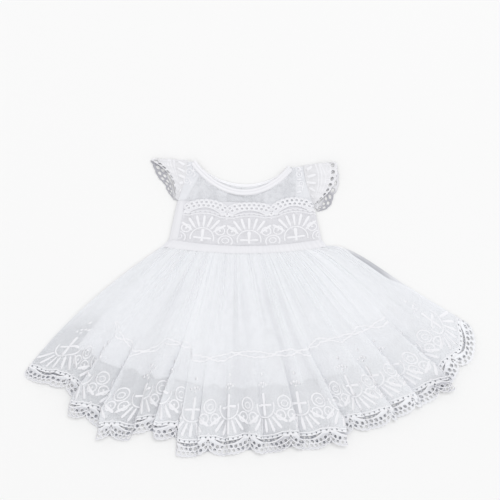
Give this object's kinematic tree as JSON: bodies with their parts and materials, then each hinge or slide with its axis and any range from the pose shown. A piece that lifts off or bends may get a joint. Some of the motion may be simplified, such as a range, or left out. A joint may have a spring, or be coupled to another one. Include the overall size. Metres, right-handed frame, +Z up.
{
  "type": "christening gown",
  "caption": "Baby's christening gown in white tulle and border lace over a satin underskirt, with cap sleeves and a full gathered skirt, laid out flat.",
  "frame": {"origin": "centre of the laid-out gown's outline, on the surface that it lies on", "axes": "+Z up from the surface, through the front of the gown; +Y towards the neckline; +X towards the wearer's left, across the skirt's widest part"},
  "size_m": [0.7197, 0.4767, 0.0157],
  "materials": {
    "tulle": "fine sheer net, slightly cool white",
    "satin": "soft satin with a gentle sheen",
    "lace": "matt embroidery thread on net"
  },
  "bodies": {
    "root": {"skirt_front": "tulle", "skirt_back": "tulle", "underskirt_front": "satin", "underskirt_tier_front": "satin", "underskirt_back": "satin", "tier_braid_front": "lace", "waistband_front": "satin", "waistband_back": "satin", "bodice_front": "satin", "bodice_lace_front": "lace", "yoke_front": "tulle", "bodice_back_left": "satin", "bodice_back_right": "satin", "yoke_back_left": "tulle", "yoke_back_right": "tulle", "neck_binding_front": "satin", "neck_binding_back": "satin", "sleeve_left": "lace", "sleeve_right": "lace"}
  },
  "joints": []
}
